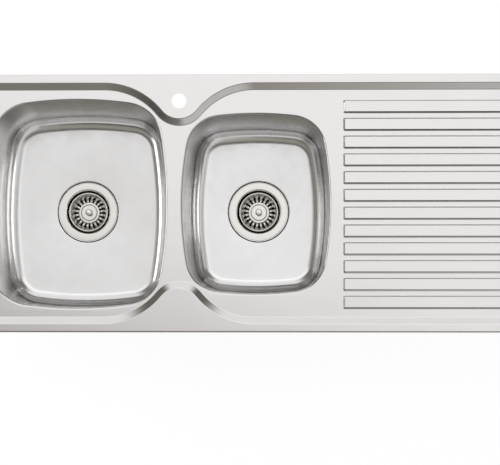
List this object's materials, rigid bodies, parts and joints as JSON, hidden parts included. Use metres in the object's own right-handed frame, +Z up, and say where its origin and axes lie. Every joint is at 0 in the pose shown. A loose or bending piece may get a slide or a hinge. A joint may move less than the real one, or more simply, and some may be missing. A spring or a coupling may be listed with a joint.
{
  "type": "sink with drainer",
  "caption": "Inset pressed steel kitchen sink with a large bowl, a smaller bowl, a ribbed drainer, lift-out strainer baskets and worktop clips.",
  "frame": {"origin": "middle of the pressed top in plan, on the worktop plane that the rim's foam strip rests on", "axes": "+X along the sink towards the drainer, +Y to the back where the tap stands, +Z up"},
  "size_m": [1.2, 0.48, 0.2893],
  "materials": {
    "pressed_steel": "satin stainless sheet with a fine lengthwise grain",
    "bright_steel": "bright drawn stainless",
    "rail_steel": "rolled stainless channel, spot welded",
    "zinc_steel": "bright zinc plate",
    "moulded_plastic": "moulded polypropylene",
    "black_rubber": "matt moulded rubber",
    "foam_strip": "closed cell foam",
    "bitumen_pad": "pressed bitumen felt",
    "brass": "turned"
  },
  "bodies": {
    "sink": {"back_left_rail": "rail_steel", "back_right_rail": "rail_steel", "edge_seal": "foam_strip", "front_left_rail": "rail_steel", "front_right_rail": "rail_steel", "left_rail": "rail_steel", "main_body_seal": "black_rubber", "main_bowl": "pressed_steel", "main_clamp_bolt": "bright_steel", "main_flange_seal": "black_rubber", "main_insert_nut": "brass", "main_outlet_tube": "moulded_plastic", "main_sound_pad": "bitumen_pad", "main_waste_body": "moulded_plastic", "main_waste_cup": "bright_steel", "right_rail": "rail_steel", "sink_top": "pressed_steel", "small_body_seal": "black_rubber", "small_bowl": "pressed_steel", "small_clamp_bolt": "bright_steel", "small_flange_seal": "black_rubber", "small_insert_nut": "brass", "small_outlet_tube": "moulded_plastic", "small_sound_pad": "bitumen_pad", "small_waste_body": "moulded_plastic", "small_waste_cup": "bright_steel"},
    "main_strainer": {"main_basket": "bright_steel", "main_basket_knob": "bright_steel", "main_stopper": "black_rubber", "main_stem_nut": "bright_steel"},
    "small_strainer": {"small_basket": "bright_steel", "small_basket_knob": "bright_steel", "small_stopper": "black_rubber", "small_stem_nut": "bright_steel"},
    "back_clip_1": {"back_clip_1_nut": "zinc_steel", "back_clip_1_screw": "zinc_steel"},
    "back_clip_1_arm": {"back_clip_1_arm": "zinc_steel"},
    "back_clip_2": {"back_clip_2_nut": "zinc_steel", "back_clip_2_screw": "zinc_steel"},
    "back_clip_2_arm": {"back_clip_2_arm": "zinc_steel"},
    "back_clip_3": {"back_clip_3_nut": "zinc_steel", "back_clip_3_screw": "zinc_steel"},
    "back_clip_3_arm": {"back_clip_3_arm": "zinc_steel"},
    "front_clip_1": {"front_clip_1_nut": "zinc_steel", "front_clip_1_screw": "zinc_steel"},
    "front_clip_1_arm": {"front_clip_1_arm": "zinc_steel"},
    "front_clip_2": {"front_clip_2_nut": "zinc_steel", "front_clip_2_screw": "zinc_steel"},
    "front_clip_2_arm": {"front_clip_2_arm": "zinc_steel"},
    "front_clip_3": {"front_clip_3_nut": "zinc_steel", "front_clip_3_screw": "zinc_steel"},
    "front_clip_3_arm": {"front_clip_3_arm": "zinc_steel"},
    "left_clip": {"left_clip_nut": "zinc_steel", "left_clip_screw": "zinc_steel"},
    "left_clip_arm": {"left_clip_arm": "zinc_steel"},
    "right_clip": {"right_clip_nut": "zinc_steel", "right_clip_screw": "zinc_steel"},
    "right_clip_arm": {"right_clip_arm": "zinc_steel"}
  },
  "joints": [
    {"name": "main_strainer_lift", "type": "slide", "parent": "sink", "child": "main_strainer", "axis": [0, 0, 1], "range_m": [0, 0.23]},
    {"name": "small_strainer_lift", "type": "slide", "parent": "sink", "child": "small_strainer", "axis": [0, 0, 1], "range_m": [0, 0.23]},
    {"name": "back_clip_1_slide", "type": "slide", "parent": "sink", "child": "back_clip_1", "axis": [1, 0, 0], "range_m": [-0.06, 0.06]},
    {"name": "back_clip_1_swing", "type": "hinge", "parent": "back_clip_1", "child": "back_clip_1_arm", "pos_m": [-0.43862, 0.2045, -0.0468], "axis": [0, 0, 1], "range_deg": [0, 90]},
    {"name": "back_clip_2_slide", "type": "slide", "parent": "sink", "child": "back_clip_2", "axis": [1, 0, 0], "range_m": [-0.07, 0.07]},
    {"name": "back_clip_2_swing", "type": "hinge", "parent": "back_clip_2", "child": "back_clip_2_arm", "pos_m": [0.0509, 0.2045, -0.0468], "axis": [0, 0, 1], "range_deg": [0, 90]},
    {"name": "back_clip_3_slide", "type": "slide", "parent": "sink", "child": "back_clip_3", "axis": [1, 0, 0], "range_m": [-0.07, 0.07]},
    {"name": "back_clip_3_swing", "type": "hinge", "parent": "back_clip_3", "child": "back_clip_3_arm", "pos_m": [0.4355, 0.2045, -0.0468], "axis": [0, 0, 1], "range_deg": [0, 90]},
    {"name": "front_clip_1_slide", "type": "slide", "parent": "sink", "child": "front_clip_1", "axis": [-1, 0, 0], "range_m": [-0.06, 0.06]},
    {"name": "front_clip_1_swing", "type": "hinge", "parent": "front_clip_1", "child": "front_clip_1_arm", "pos_m": [-0.43862, -0.2045, -0.0468], "axis": [0, 0, 1], "range_deg": [0, 90]},
    {"name": "front_clip_2_slide", "type": "slide", "parent": "sink", "child": "front_clip_2", "axis": [-1, 0, 0], "range_m": [-0.07, 0.07]},
    {"name": "front_clip_2_swing", "type": "hinge", "parent": "front_clip_2", "child": "front_clip_2_arm", "pos_m": [0.0509, -0.2045, -0.0468], "axis": [0, 0, 1], "range_deg": [0, 90]},
    {"name": "front_clip_3_slide", "type": "slide", "parent": "sink", "child": "front_clip_3", "axis": [-1, 0, 0], "range_m": [-0.07, 0.07]},
    {"name": "front_clip_3_swing", "type": "hinge", "parent": "front_clip_3", "child": "front_clip_3_arm", "pos_m": [0.4355, -0.2045, -0.0468], "axis": [0, 0, 1], "range_deg": [0, 90]},
    {"name": "left_clip_slide", "type": "slide", "parent": "sink", "child": "left_clip", "axis": [0, 1, 0], "range_m": [-0.09, 0.09]},
    {"name": "left_clip_swing", "type": "hinge", "parent": "left_clip", "child": "left_clip_arm", "pos_m": [-0.5645, 0, -0.0468], "axis": [0, 0, 1], "range_deg": [0, 90]},
    {"name": "right_clip_slide", "type": "slide", "parent": "sink", "child": "right_clip", "axis": [0, -1, 0], "range_m": [-0.09, 0.09]},
    {"name": "right_clip_swing", "type": "hinge", "parent": "right_clip", "child": "right_clip_arm", "pos_m": [0.5645, 0, -0.0468], "axis": [0, 0, 1], "range_deg": [0, 90]}
  ]
}
